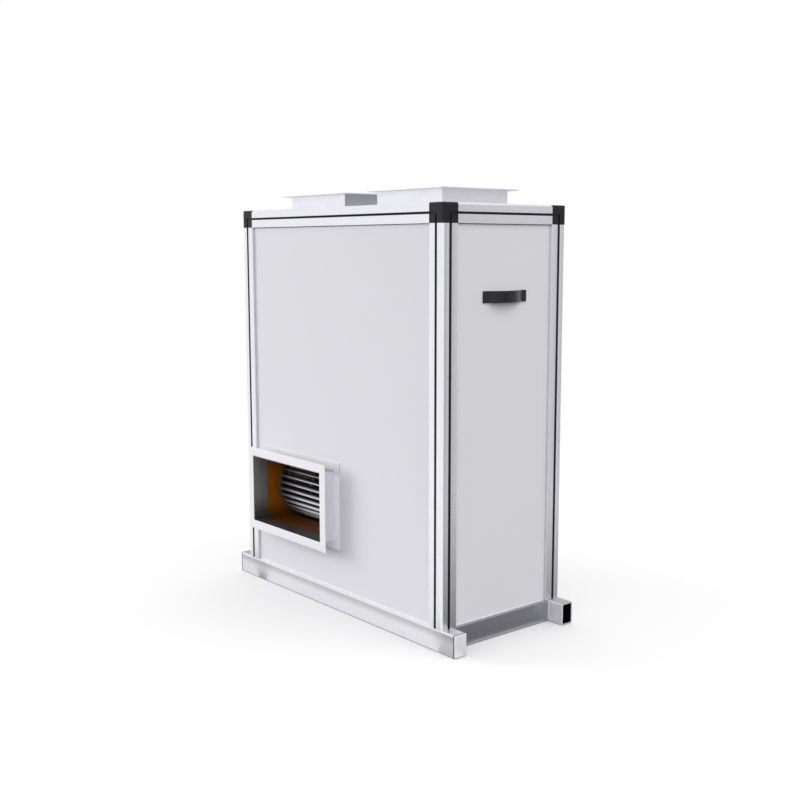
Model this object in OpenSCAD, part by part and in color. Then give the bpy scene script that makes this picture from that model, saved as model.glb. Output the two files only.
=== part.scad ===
// Free-standing air handling unit: an aluminium profile cabinet on tube rails,
// with two duct spigots on top, a flanged fan outlet low on the front, and a
// lift-off access panel with a bow handle on the right end.
// Origin: on the floor, under the middle of the overall box. +X right, +Y back, +Z up.

/* [Cabinet frame] */
// Width of the profile frame
frame_w = 900; // [800:10:1100]
// Depth of the profile frame
frame_d = 430; // [400:5:520]
// Height of the frame's top face above the floor
frame_h = 1120; // [1000:10:1300]
// Outside size of the square frame profile
profile = 50; // [46:1:56]
// Wall of the frame profile
profile_wall = 2.5; // [2:0.1:3]
// Radius of the profile's outer edge
profile_edge_r = 5; // [3:0.5:6]
// Width of the slot along each outer face of the profile
slot_w = 6; // [5:0.5:8]
// Depth of that slot
slot_d = 5; // [4:0.5:6]
// How far the cover strip lies below the profile's face
strip_inset = 0.25; // [0.25:0.25:2]
// Reach of the fin that a panel seats against
stop_l = 12; // [8:1:16]
// Thickness of that fin
stop_t = 2; // [1.5:0.1:3]
// Length of a corner block's legs inside the profiles
leg_l = 35; // [20:1:50]
// Clearance of a leg inside its profile
leg_gap = 0.25; // [0.1:0.05:0.4]
// Depth of the groove that carries the slots round a corner block
groove_d = 2.5; // [1:0.25:3]

/* [Base rails] */
// Height of the base rails
rail_h = 60; // [40:1:90]
// Width of the base rails
rail_w = 40; // [40:1:60]
// Wall of the rail tube
rail_wall = 3; // [2:0.25:4]
// Radius of the tube's long edges
rail_edge_r = 4; // [3:0.25:6]
// Length by which the long rails stand out past each end of the frame
rail_overhang = 50; // [20:1:100]
// Thickness of the plates that close the front rail
end_plate_t = 3; // [2:0.5:5]
// Length of the plugs in the rear rail's ends
plug_l = 18; // [10:1:30]
// Clearance of a plug inside the tube
plug_gap = 0.25; // [0.1:0.05:0.4]
// How far a plug lies inside the tube's end
plug_inset = 1; // [0:0.5:3]

/* [Panels] */
// Thickness of the sandwich panels
panel_t = 25; // [20:1:26]
// Depth of the panels' faces behind the profile's faces
panel_recess = 7; // [5:0.5:8]
// Gap round the panels' edges
panel_gap = 1.5; // [0.5:0.25:2.5]
// Radius of the folds round the panels' faces
panel_edge_r = 2; // [1:0.25:4]

/* [Fan outlet] */
// Clear width of the outlet
outlet_w = 340; // [280:5:360]
// Clear height of the outlet
outlet_h = 195; // [180:1:230]
// Distance from the frame's left face to the outlet
outlet_left = 100; // [80:5:460]
// Height of the outlet's middle above the floor
outlet_z = 298; // [290:1:500]
// Distance from the front panel to the outlet's front face
outlet_reach = 50; // [30:1:80]
// Width of the outlet's flanges
outlet_flange_w = 24; // [15:1:24]
// Thickness of the duct sheet
sheet_t = 2; // [1.5:0.25:3]

/* [Top spigots] */
// Clear width of a spigot
spigot_w = 258; // [200:2:280]
// Clear depth of a spigot
spigot_d = 226; // [160:2:240]
// Distance from each end of the frame to the spigot's flange
spigot_inset = 94; // [60:1:120]
// Height of the spigots above the frame's top face
spigot_rise = 42; // [25:1:80]
// Width of the spigots' flanges
spigot_flange_w = 21; // [15:1:24]
// Thickness of the spigots' flanges
spigot_flange_t = 3; // [2:0.5:5]

/* [Access handle] */
// Length of the handle over its feet
handle_l = 150; // [120:2:200]
// Height of the handle's strap
handle_h = 30; // [20:1:40]
// How far the bow stands off the panel
handle_rise = 28; // [22:1:40]
// Thickness of the strap
handle_t = 4; // [3:0.5:5]
// Length of each foot on the panel
handle_foot = 16; // [14:1:26]
// Height of the handle's middle above the floor
handle_z = 889; // [500:1:920]
// Number of grip ribs along the strap
rib_count = 6; // [3:1:8]
// Height of the grip ribs
rib_rise = 0.8; // [0.4:0.1:1.2]

/* [Fan housing] */
// Distance of the fan's axis behind the front panel's face
axis_back = 133; // [130:1:150]
// Height of the fan's axis above the outlet's middle
axis_rise = 2; // [0:0.5:10]
// Gap between the wheel and the scroll's first arc
scroll_gap = 5; // [5:0.5:8]
// Growth of the scroll's radius at each quarter turn
scroll_growth = 10; // [9:0.5:12]
// Reach of the side plates past the scroll
plate_lip = 10; // [6:1:14]
// Radius of the bell mouth's curve at each inlet
bell_r = 16; // [12:1:17]
// Radius of the inlet's throat
throat_r = 79; // [70:1:80]
// Thickness of the bell mouth's sheet
bell_t = 1.5; // [1:0.25:2]
// Width of the bell mouth's flat rim
bell_rim = 11; // [8:1:12]
// Width of a fan foot
foot_w = 30; // [20:1:36]
// Thickness of a fan foot
foot_t = 3; // [2:0.5:4]
// Length of a fan foot's flange on the floor panel
foot_l = 36; // [20:1:40]
// Distance of the feet in front of and behind the axis
foot_pitch = 80; // [78:1:84]
// Depth of the feet's top ends below the axis
foot_drop = 91; // [90:1:95]

/* [Fan wheel] */
// Outside radius of the wheel
wheel_r = 105; // [100:1:106]
// Gap between the wheel and each side plate
wheel_side_gap = 22; // [22:1:30]
// Number of blades in each half of the wheel
blade_count = 32; // [24:1:40]
// Radial depth of the blades
blade_depth = 19; // [15:1:20]
// Radius of a blade's curve
blade_arc_r = 22; // [21:1:30]
// Thickness of a blade
blade_t = 1.2; // [0.8:0.1:2]
// Margin of the wheel's rings round the blades
ring_margin = 1; // [0.5:0.25:2]
// Thickness of the wheel's end rings and its middle disc
ring_t = 3; // [2:0.5:4]
// How far the middle disc reaches into the blades
disc_bite = 7; // [4:0.5:12]
// Radius of the wheel's hub
hub_r = 20; // [16:1:26]
// Length of the wheel's hub
hub_l = 40; // [30:1:50]
// Radius of the fan shaft
shaft_r = 10; // [8:0.5:12]
// Radial clearance round the fan shaft
shaft_gap = 0.05; // [0.02:0.01:0.09]

/* [Fan motor] */
// Radius of the motor
motor_r = 58; // [50:1:62]
// Length of the motor's body
motor_l = 118; // [100:1:124]
// Radius of the motor's end caps
motor_cap_r = 44; // [36:1:48]
// Length of each end cap
motor_cap_l = 10; // [6:1:14]
// How far the motor's body stands out past the fan's right side plate
motor_out = 14; // [10:1:20]
// Thickness of the bracket's band round the motor
band_t = 4; // [3:0.5:6]
// Width of that band along the motor
band_w = 11; // [6:1:12]
// Width of the bracket's arms
arm_w = 22; // [16:1:28]
// Thickness of the bracket's arms
arm_t = 4; // [3:0.5:6]
// Clearance of the band round the motor
band_gap = 0.2; // [0.1:0.05:0.3]

/* [Hidden] */
$fn = 96;
cut = 1;

panel_white = "#e2e2e9";
profile_silver = "#e6e7ea";
rail_steel = "#cfd2d6";
trim_black = "#1d1d20";
duct_metal = "#f1f1f4";
housing_copper = "#6b3a12";
wheel_grey = "#6d6e72";
motor_grey = "#4a4c50";

// The outlet stands out of the frame's front, so the frame sits behind the middle of the box.
outlet_proud = outlet_reach - panel_recess;
frame_y = outlet_proud / 2;
front_y = frame_y - frame_d / 2;
rear_y = frame_y + frame_d / 2;
panel_face_y = front_y + panel_recess;

// Profile seats: the stop fins lie behind the panels, and the legs fill the free core.
panel_seat = panel_recess + panel_t;
channel_w = slot_w + 2 * profile_wall;
channel_d = slot_d + profile_wall;
leg_start = channel_d + leg_gap;
leg_size = profile - profile_wall - leg_gap - leg_start;
post_h = frame_h - profile - rail_h;
clear_w = frame_w - 2 * profile;
clear_d = frame_d - 2 * profile;

rail_l = frame_w + 2 * rail_overhang;
cross_l = frame_d - 2 * rail_w;

panel_h = post_h - panel_gap;
top_z = frame_h - panel_recess;
floor_edge = panel_seat + stop_t + panel_gap;
floor_notch = profile - floor_edge + panel_gap;
floor_top_z = rail_h + panel_t;

// Outlet box seen along Y, and the fan's place behind it.
outlet_x = outlet_left + outlet_w / 2 - frame_w / 2;
outlet_front_y = panel_face_y - outlet_reach;
axis_y = panel_face_y + axis_back;
axis_z = outlet_z + axis_rise;
duct_floor = -outlet_h / 2 - axis_rise;
duct_ceiling = outlet_h / 2 - axis_rise;
mouth_y = -axis_back;
behind_panel_y = panel_t - axis_back;
housing_left_x = outlet_x - outlet_w / 2;
housing_right_x = outlet_x + outlet_w / 2;
cutout_w = outlet_w + 2 * (sheet_t + panel_gap);
cutout_h = outlet_h + 2 * (sheet_t + panel_gap);

// Scroll: quarter arcs whose centres step round a small square on the axis.
scroll_c = scroll_growth / 2;
scroll_r1 = wheel_r + scroll_gap;
scroll_r2 = scroll_r1 + scroll_growth;
scroll_r3 = scroll_r2 + scroll_growth;
bell_centre_r = throat_r + bell_r + bell_t;
bell_hole_gap = 0.3;

blade_tip_r = wheel_r - ring_margin;
blade_root_r = blade_tip_r - blade_depth;
ring_inner_r = blade_root_r - ring_margin;
wheel_left_x = housing_left_x + wheel_side_gap;
wheel_right_x = housing_right_x - wheel_side_gap;
blade_l = (wheel_right_x - wheel_left_x) / 2 - ring_t;
disc_r = blade_root_r + disc_bite;

// Motor: its body starts in the wheel's right half and ends outside the side plate.
plate_right_out_x = housing_right_x + sheet_t;
motor_end_x = plate_right_out_x + motor_out;
motor_start_x = motor_end_x - motor_l;
bracket_x = plate_right_out_x + bell_t;
arm_reach_r = bell_centre_r + bell_rim;
shaft_left_x = outlet_x - hub_l / 2;
shaft_end_x = motor_end_x - 2 * motor_cap_l;

// Handle: feet on the panel, joined by a circular bow.
handle_x = frame_w / 2 - panel_recess;
bow_chord = handle_l - 2 * handle_foot;
bow_r = (pow(bow_chord / 2, 2) + pow(handle_rise, 2)) / (2 * handle_rise);
bow_centre_x = handle_rise - bow_r;
rib_pitch = handle_h / rib_count;

spigot_top_z = frame_h + spigot_rise;
spigot_x = frame_w / 2 - spigot_inset - spigot_flange_w - sheet_t - spigot_w / 2;

// Extrudes a shape drawn in Y and Z along X.
module along_x(x, l) {
    translate([x, 0, 0]) rotate([90, 0, 90]) linear_extrude(l) children();
}

// Extrudes a shape drawn in X and Z along Y.
module along_y(y, l) {
    translate([0, y + l, 0]) rotate([90, 0, 0]) linear_extrude(l) children();
}

// Puts a child made for the front left corner at the corner named by its signs.
module at_corner(side_x, side_y) {
    translate([side_x * frame_w / 2, frame_y + side_y * frame_d / 2, 0])
        mirror([max(side_x, 0), 0, 0])
            mirror([0, max(side_y, 0), 0])
                children();
}

// Rectangle about the origin with round corners.
module round_rect(w, h, r) {
    square([w - 2 * r, h], center = true);
    square([w, h - 2 * r], center = true);
    for (x = [-1, 1], y = [-1, 1])
        translate([x * (w / 2 - r), y * (h / 2 - r)]) circle(r);
}

// Rectangular ring about the origin.
module ring_rect(w, h, inner_w, inner_h) {
    difference() {
        square([w, h], center = true);
        square([inner_w, inner_h], center = true);
    }
}

// Square in the first quadrant whose corner at the origin is round.
module edge_square(size, r) {
    translate([r, 0]) square([size - r, size]);
    translate([0, r]) square([size, size - r]);
    translate([r, r]) circle(r);
}

// Hollow frame profile with its outer edge at the origin and a slot in each outer face.
module profile_section() {
    difference() {
        union() {
            difference() {
                edge_square(profile, profile_edge_r);
                translate([profile_wall, profile_wall]) square(profile - 2 * profile_wall);
            }
            translate([profile / 2 - channel_w / 2, 0]) square([channel_w, channel_d]);
            translate([0, profile / 2 - channel_w / 2]) square([channel_d, channel_w]);
        }
        translate([profile / 2 - slot_w / 2, -cut]) square([slot_w, slot_d + cut]);
        translate([-cut, profile / 2 - slot_w / 2]) square([slot_d + cut, slot_w]);
    }
}

// Fin behind the panel whose face is parallel to the section's first axis.
module stop_fin() {
    translate([profile - profile_wall, panel_seat]) square([stop_l + profile_wall, stop_t]);
}

// The same fin behind the panel on the other side of the section.
module other_stop_fin() {
    mirror([1, -1]) stop_fin();
}

// Corner post with its outer edge on the Z axis.
module post() {
    color(profile_silver) translate([0, 0, rail_h]) {
        linear_extrude(post_h) profile_section();
        linear_extrude(post_h) stop_fin();
        linear_extrude(post_h) other_stop_fin();
    }
}

// Top rail drawn from the middle of its length, with its fins clear of the next ones.
module top_rail(l, top_fin_l) {
    translate([0, 0, -l / 2]) linear_extrude(l) profile_section();
    translate([0, 0, -top_fin_l / 2]) linear_extrude(top_fin_l) stop_fin();
    translate([0, 0, stop_l - l / 2]) linear_extrude(l - 2 * stop_l) other_stop_fin();
}

module long_top_rail(side_y) {
    color(profile_silver) translate([0, frame_y + side_y * frame_d / 2, frame_h])
        mirror([0, max(side_y, 0), 0]) mirror([0, 0, 1])
            rotate([90, 0, 90]) top_rail(clear_w, clear_w);
}

module short_top_rail(side_x) {
    color(profile_silver) translate([side_x * frame_w / 2, frame_y, frame_h])
        mirror([max(side_x, 0), 0, 0])
            rotate([-90, 0, 0]) top_rail(clear_d, clear_d - 2 * stop_l);
}

// Groove that leads a slot from the lower edge of a corner block to its inner edge.
module corner_groove() {
    translate([profile / 2 - slot_w / 2, profile / 2]) square([slot_w, profile / 2 + cut]);
    translate([profile / 2, profile / 2 - slot_w / 2]) square([profile / 2 + cut, slot_w]);
    translate([profile / 2, profile / 2]) circle(slot_w / 2);
}

// Corner block with its outer point at the origin and three legs for the profiles.
module corner_block() {
    difference() {
        intersection() {
            linear_extrude(profile) edge_square(profile, profile_edge_r);
            along_x(0, profile) edge_square(profile, profile_edge_r);
            along_y(0, profile) edge_square(profile, profile_edge_r);
        }
        translate([0, 0, -cut]) linear_extrude(groove_d + cut) corner_groove();
        along_x(-cut, groove_d + cut) corner_groove();
        along_y(-cut, groove_d + cut) corner_groove();
    }
    for (turn = [[0, 0, 0], [90, 0, 90], [0, -90, -90]])
        rotate(turn)
            translate([leg_start, leg_start, profile]) cube([leg_size, leg_size, leg_l]);
}

module top_corner(side_x, side_y) {
    color(trim_black) at_corner(side_x, side_y)
        translate([0, 0, frame_h]) mirror([0, 0, 1]) corner_block();
}

// Cover strips in the two slots of a profile.
module strip_section() {
    translate([profile / 2 - slot_w / 2, strip_inset]) square([slot_w, slot_d - strip_inset]);
    translate([strip_inset, profile / 2 - slot_w / 2]) square([slot_d - strip_inset, slot_w]);
}

// Inside of the base's tube, made smaller by a gap all round.
module rail_bore(gap) {
    inset = 2 * (rail_wall + gap);
    round_rect(rail_w - inset, rail_h - inset, rail_edge_r - rail_wall / 2);
}

// Tube of the base, about the origin.
module rail_section() {
    difference() {
        round_rect(rail_w, rail_h, rail_edge_r);
        rail_bore(0);
    }
}

module long_rail(y, l) {
    color(rail_steel) translate([0, y, rail_h / 2]) along_x(-l / 2, l) rail_section();
}

module cross_rail(side_x) {
    color(rail_steel) translate([side_x * (frame_w - rail_w) / 2, frame_y, rail_h / 2])
        along_y(-cross_l / 2, cross_l) rail_section();
}

module base_front_rail() { long_rail(front_y + rail_w / 2, rail_l - 2 * end_plate_t); }
module base_rear_rail() { long_rail(rear_y - rail_w / 2, rail_l); }
module base_left_cross_rail() { cross_rail(-1); }
module base_right_cross_rail() { cross_rail(1); }

module front_rail_end_plates() {
    color(rail_steel) for (side_x = [-1, 1])
        translate([0, front_y + rail_w / 2, rail_h / 2])
            along_x(side_x * (rail_l - end_plate_t) / 2 - end_plate_t / 2, end_plate_t)
                round_rect(rail_w, rail_h, rail_edge_r);
}

module rear_rail_plugs() {
    color(trim_black) for (side_x = [-1, 1])
        translate([0, rear_y - rail_w / 2, rail_h / 2])
            along_x(side_x * ((rail_l - plug_l) / 2 - plug_inset) - plug_l / 2, plug_l)
                rail_bore(plug_gap);
}

module front_left_post() { at_corner(-1, -1) post(); }
module front_right_post() { at_corner(1, -1) post(); }
module rear_left_post() { at_corner(-1, 1) post(); }
module rear_right_post() { at_corner(1, 1) post(); }

module front_top_rail() { long_top_rail(-1); }
module rear_top_rail() { long_top_rail(1); }
module left_top_rail() { short_top_rail(-1); }
module right_top_rail() { short_top_rail(1); }

module front_left_corner() { top_corner(-1, -1); }
module front_right_corner() { top_corner(1, -1); }
module rear_left_corner() { top_corner(-1, 1); }
module rear_right_corner() { top_corner(1, 1); }

module post_slot_strips() {
    color(trim_black) for (side_x = [-1, 1], side_y = [-1, 1])
        at_corner(side_x, side_y)
            translate([0, 0, rail_h]) linear_extrude(post_h) strip_section();
}

module top_rail_slot_strips() {
    color(trim_black) {
        for (side_y = [-1, 1])
            translate([0, frame_y + side_y * frame_d / 2, frame_h])
                mirror([0, max(side_y, 0), 0]) mirror([0, 0, 1])
                    along_x(-clear_w / 2, clear_w) strip_section();
        for (side_x = [-1, 1])
            translate([side_x * frame_w / 2, frame_y, frame_h])
                mirror([max(side_x, 0), 0, 0])
                    rotate([-90, 0, 0]) translate([0, 0, -clear_d / 2])
                        linear_extrude(clear_d) strip_section();
    }
}

// Section through a panel of width w, with the folds of its face at the top.
module panel_section(w) {
    translate([-w / 2, 0]) square([w, panel_t - panel_edge_r]);
    translate([panel_edge_r - w / 2, 0]) square([w - 2 * panel_edge_r, panel_t]);
    for (side = [-1, 1])
        translate([side * (w / 2 - panel_edge_r), panel_t - panel_edge_r]) circle(panel_edge_r);
}

// Sandwich panel lying on its back, with folds round its face.
module panel_blank(w, l) {
    intersection() {
        along_x(-w / 2, w) panel_section(l);
        along_y(-l / 2, l) panel_section(w);
    }
}

// Panel for a clear width, standing on the base rails with its face to the front.
module upright_panel(clear) {
    translate([0, 0, rail_h + panel_h / 2]) rotate([90, 0, 0])
        panel_blank(clear - 2 * panel_gap, panel_h);
}

module front_panel() {
    color(panel_white) difference() {
        translate([0, panel_face_y + panel_t, 0]) upright_panel(clear_w);
        translate([outlet_x, 0, outlet_z]) along_y(panel_face_y - cut, panel_t + 2 * cut)
            square([cutout_w, cutout_h], center = true);
    }
}

module rear_panel() {
    color(panel_white) translate([0, rear_y - panel_seat, 0])
        rotate([0, 0, 180]) upright_panel(clear_w);
}

module left_panel() {
    color(panel_white) translate([panel_seat - frame_w / 2, frame_y, 0])
        rotate([0, 0, -90]) upright_panel(clear_d);
}

module access_panel() {
    color(panel_white) translate([frame_w / 2 - panel_seat, frame_y, 0])
        rotate([0, 0, 90]) upright_panel(clear_d);
}

// Top panel with an opening under each spigot.
module top_panel() {
    color(panel_white) translate([0, frame_y, top_z - panel_t]) difference() {
        panel_blank(clear_w - 2 * panel_gap, clear_d - 2 * panel_gap);
        for (side_x = [-1, 1])
            translate([side_x * spigot_x, 0, -cut]) linear_extrude(panel_t + 2 * cut)
                square([spigot_w, spigot_d], center = true);
    }
}

// Floor panel on the rails' inner edges, notched round the posts.
module floor_panel() {
    color(panel_white) translate([0, frame_y, rail_h]) linear_extrude(panel_t)
        difference() {
            square([frame_w - 2 * floor_edge, frame_d - 2 * floor_edge], center = true);
            for (x = [-1, 1], y = [-1, 1])
                translate([x * (frame_w / 2 - floor_edge), y * (frame_d / 2 - floor_edge)])
                    square(2 * floor_notch, center = true);
        }
}

// Bow handle seen from above: two feet on the panel and a circular strap between them.
module handle_outline(extra) {
    for (side_y = [-1, 1])
        translate([0, side_y * (handle_l - handle_foot) / 2 - handle_foot / 2])
            square([handle_t, handle_foot]);
    intersection() {
        translate([bow_centre_x, 0]) difference() {
            circle(bow_r + extra);
            circle(bow_r - handle_t);
        }
        translate([0, -handle_l / 2]) square([handle_rise + extra, handle_l]);
    }
}

module access_handle() {
    color(trim_black) translate([handle_x, frame_y, handle_z - handle_h / 2]) {
        linear_extrude(handle_h) handle_outline(0);
        for (i = [0 : rib_count - 1])
            translate([0, 0, (i + 0.25) * rib_pitch])
                linear_extrude(rib_pitch / 2) handle_outline(rib_rise);
    }
}

// Ring round the outlet's collar, with its back at y.
module outlet_flange(y) {
    color(duct_metal) translate([outlet_x, 0, outlet_z])
        along_y(y - sheet_t, sheet_t)
            ring_rect(outlet_w + 2 * (sheet_t + outlet_flange_w),
                      outlet_h + 2 * (sheet_t + outlet_flange_w),
                      outlet_w + 2 * sheet_t, outlet_h + 2 * sheet_t);
}

module outlet_wall_flange() { outlet_flange(panel_face_y); }
module outlet_front_flange() { outlet_flange(outlet_front_y + sheet_t); }

module outlet_collar() {
    color(duct_metal) translate([outlet_x, 0, outlet_z])
        along_y(outlet_front_y, outlet_reach)
            ring_rect(outlet_w + 2 * sheet_t, outlet_h + 2 * sheet_t, outlet_w, outlet_h);
}

// Spigot on the top panel: a folded collar with a base flange and a duct flange.
module top_spigot(side_x) {
    collar_w = spigot_w + 2 * sheet_t;
    collar_d = spigot_d + 2 * sheet_t;
    color(duct_metal) translate([side_x * spigot_x, frame_y, 0]) {
        translate([0, 0, top_z]) linear_extrude(spigot_top_z - top_z)
            ring_rect(collar_w, collar_d, spigot_w, spigot_d);
        for (z = [top_z, spigot_top_z - spigot_flange_t])
            translate([0, 0, z]) linear_extrude(spigot_flange_t)
                ring_rect(collar_w + 2 * spigot_flange_w, collar_d + 2 * spigot_flange_w,
                          spigot_w, spigot_d);
    }
}

module left_top_spigot() { top_spigot(-1); }
module right_top_spigot() { top_spigot(1); }

// Everything about the fan is drawn in Y and Z from its axis.
module on_axis(x, l) {
    translate([0, axis_y, axis_z]) along_x(x, l) children();
}

// Quarter of a disc with its square corner at the centre.
module quarter_disc(centre, r, side) {
    translate(centre) intersection() {
        circle(r);
        translate([min(side.x, 0) * r, min(side.y, 0) * r]) square(r);
    }
}

// Duct between the panel's face and the axis, grown by t above and below.
module duct_shape(t) {
    translate([mouth_y, duct_floor - t])
        square([axis_back, duct_ceiling - duct_floor + 2 * t]);
}

// Inside of the scroll behind the panel, grown outward by t.
module volute_shape(t) {
    intersection() {
        union() {
            quarter_disc([scroll_c, -scroll_c], scroll_r1 + t, [-1, -1]);
            quarter_disc([scroll_c, scroll_c], scroll_r2 + t, [1, -1]);
            quarter_disc([-scroll_c, scroll_c], scroll_r3 + t, [1, 1]);
            quarter_disc([-scroll_c, scroll_c], scroll_r3 + t, [-1, 1]);
            square([4 * scroll_growth, 4 * scroll_growth], center = true);
            duct_shape(t);
        }
        translate([behind_panel_y, -2 * scroll_r3]) square(4 * scroll_r3);
    }
}

module scroll_shape(t) {
    volute_shape(t);
    duct_shape(t);
}

module fan_scroll_wrap() {
    color(housing_copper) on_axis(housing_left_x, outlet_w) difference() {
        scroll_shape(sheet_t);
        scroll_shape(0);
    }
}

module fan_side_plate(x) {
    color(housing_copper) on_axis(x, sheet_t) difference() {
        union() {
            volute_shape(plate_lip);
            duct_shape(sheet_t);
        }
        circle(bell_centre_r + bell_hole_gap);
    }
}

module fan_left_side_plate() { fan_side_plate(housing_left_x - sheet_t); }
module fan_right_side_plate() { fan_side_plate(housing_right_x); }

// Bell mouth about the Z axis: a rim on the plate's outer face at z = 0, curving in to the throat.
module bell_mouth() {
    rotate_extrude() {
        translate([bell_centre_r, -bell_t]) square([bell_rim, bell_t]);
        intersection() {
            translate([bell_centre_r, bell_r]) difference() {
                circle(bell_r + bell_t);
                circle(bell_r);
            }
            translate([throat_r - cut, -bell_t])
                square([bell_r + bell_t + cut, bell_r + bell_t]);
        }
    }
}

module fan_inlet_bells() {
    color(housing_copper) translate([0, axis_y, axis_z]) {
        translate([housing_left_x - sheet_t, 0, 0]) rotate([0, 90, 0]) bell_mouth();
        translate([plate_right_out_x, 0, 0]) rotate([0, -90, 0]) bell_mouth();
    }
}

// Angle foot seen along Y: a leg on the side plate and a flange on the floor panel.
module foot_section() {
    leg_h = axis_z - foot_drop - floor_top_z;
    square([foot_t, leg_h]);
    square([foot_l, foot_t]);
}

module fan_feet() {
    color(motor_grey) translate([0, 0, floor_top_z]) for (side_y = [-1, 1]) {
        along_foot_y = axis_y + side_y * foot_pitch - foot_w / 2;
        translate([plate_right_out_x, 0, 0]) along_y(along_foot_y, foot_w) foot_section();
        translate([housing_left_x - sheet_t, 0, 0]) mirror([1, 0, 0])
            along_y(along_foot_y, foot_w) foot_section();
    }
}

// Motor with stepped end caps and a blind bore for the shaft.
module fan_motor() {
    color(motor_grey) difference() {
        union() {
            on_axis(motor_start_x, motor_l) circle(motor_r);
            on_axis(motor_start_x - motor_cap_l, motor_l + 2 * motor_cap_l) circle(motor_cap_r);
        }
        on_axis(motor_start_x - motor_cap_l - cut, shaft_end_x + cut - motor_start_x + 2 * motor_cap_l)
            circle(shaft_r + shaft_gap);
    }
}

// Band round the motor with three arms on the right inlet's rim.
module motor_bracket() {
    color(motor_grey) difference() {
        union() {
            on_axis(bracket_x, band_w) circle(motor_r + band_gap + band_t);
            for (angle = [90 : 120 : 330])
                on_axis(bracket_x, arm_t) rotate(angle)
                    translate([0, -arm_w / 2]) square([arm_reach_r, arm_w]);
        }
        on_axis(bracket_x - cut, band_w + 2 * cut) circle(motor_r + band_gap);
    }
}

// Forward-curved blade: radial at its root and swept forward at its tip.
module blade() {
    intersection() {
        difference() {
            translate([blade_root_r, blade_arc_r]) circle(blade_arc_r);
            translate([blade_root_r, blade_arc_r]) circle(blade_arc_r - blade_t);
        }
        difference() {
            circle(blade_tip_r);
            circle(blade_root_r);
        }
        translate([blade_root_r - cut, -cut]) square([blade_depth + 2 * cut, blade_arc_r]);
    }
}

// Plate of the wheel's middle disc, which the blades straddle.
module disc_plate() {
    on_axis(outlet_x - ring_t / 2, ring_t) circle(disc_r);
}

module blade_row(x) {
    color(wheel_grey) difference() {
        on_axis(x, blade_l)
            for (i = [0 : blade_count - 1]) rotate(i * 360 / blade_count) blade();
        disc_plate();
    }
}

module wheel_left_blades() { blade_row(wheel_left_x + ring_t); }
module wheel_right_blades() { blade_row(outlet_x); }

module wheel_end_rings() {
    color(wheel_grey) for (x = [wheel_left_x, wheel_right_x - ring_t])
        on_axis(x, ring_t) difference() {
            circle(wheel_r);
            circle(ring_inner_r);
        }
}

module wheel_middle_disc() {
    color(wheel_grey) difference() {
        union() {
            disc_plate();
            on_axis(outlet_x - hub_l / 2, hub_l) circle(hub_r);
        }
        on_axis(outlet_x - hub_l / 2 - cut, hub_l + 2 * cut) circle(shaft_r + shaft_gap);
    }
}

module fan_shaft() {
    color(rail_steel) on_axis(shaft_left_x, shaft_end_x - shaft_left_x) circle(shaft_r);
}

base_front_rail();
base_rear_rail();
base_left_cross_rail();
base_right_cross_rail();
front_rail_end_plates();
rear_rail_plugs();
front_left_post();
front_right_post();
rear_left_post();
rear_right_post();
front_top_rail();
rear_top_rail();
left_top_rail();
right_top_rail();
front_left_corner();
front_right_corner();
rear_left_corner();
rear_right_corner();
post_slot_strips();
top_rail_slot_strips();
front_panel();
rear_panel();
left_panel();
access_panel();
top_panel();
floor_panel();
access_handle();
outlet_wall_flange();
outlet_collar();
outlet_front_flange();
left_top_spigot();
right_top_spigot();
fan_left_side_plate();
fan_right_side_plate();
fan_scroll_wrap();
fan_inlet_bells();
fan_feet();
fan_motor();
motor_bracket();
wheel_left_blades();
wheel_right_blades();
wheel_end_rings();
wheel_middle_disc();
fan_shaft();
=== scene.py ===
"""Air handling unit: the finish of every surface, and the slotted profiles, cover strips, panel seals,
sealant, folded duct sheet, rail ends, weld beads and bow handle as surfaces worked out round the
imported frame. Metres, +Z up."""
import math

import bpy
import numpy as np
from mathutils import Matrix, Vector


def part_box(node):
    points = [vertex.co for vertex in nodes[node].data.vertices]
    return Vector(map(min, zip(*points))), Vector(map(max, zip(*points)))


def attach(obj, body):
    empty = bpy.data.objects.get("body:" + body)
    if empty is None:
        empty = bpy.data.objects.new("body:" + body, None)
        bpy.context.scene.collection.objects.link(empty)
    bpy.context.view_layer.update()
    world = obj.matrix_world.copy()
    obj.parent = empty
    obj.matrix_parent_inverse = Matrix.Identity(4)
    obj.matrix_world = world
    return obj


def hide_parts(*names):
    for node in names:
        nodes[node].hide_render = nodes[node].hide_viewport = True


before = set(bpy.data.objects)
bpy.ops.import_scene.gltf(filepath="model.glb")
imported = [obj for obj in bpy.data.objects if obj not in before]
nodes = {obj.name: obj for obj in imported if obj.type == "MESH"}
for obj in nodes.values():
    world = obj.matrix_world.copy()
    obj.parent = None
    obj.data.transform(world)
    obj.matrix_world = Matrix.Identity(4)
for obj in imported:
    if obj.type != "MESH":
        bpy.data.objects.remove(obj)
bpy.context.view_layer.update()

MM = 0.001

# Frame profile
PROFILE = 50 * MM
PROFILE_WALL = 2.5 * MM
PROFILE_EDGE_R = 7 * MM
SLOT_W = 6 * MM
SLOT_D = 5 * MM
SLOT_LIP_R = 0.3 * MM
SLOT_ROOT_R = 0.5 * MM
ARRIS_R = 0.8 * MM
STRIP_INSET = 0.25 * MM
STRIP_CROWN_R = 0.3 * MM
STRIP_GAP = 0.02 * MM
STRIP_LIP = 0.9 * MM
STRIP_LIP_T = 0.3 * MM
PANEL_SEAT = 32 * MM
FIN_L = 12 * MM
FIN_T = 2 * MM

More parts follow.
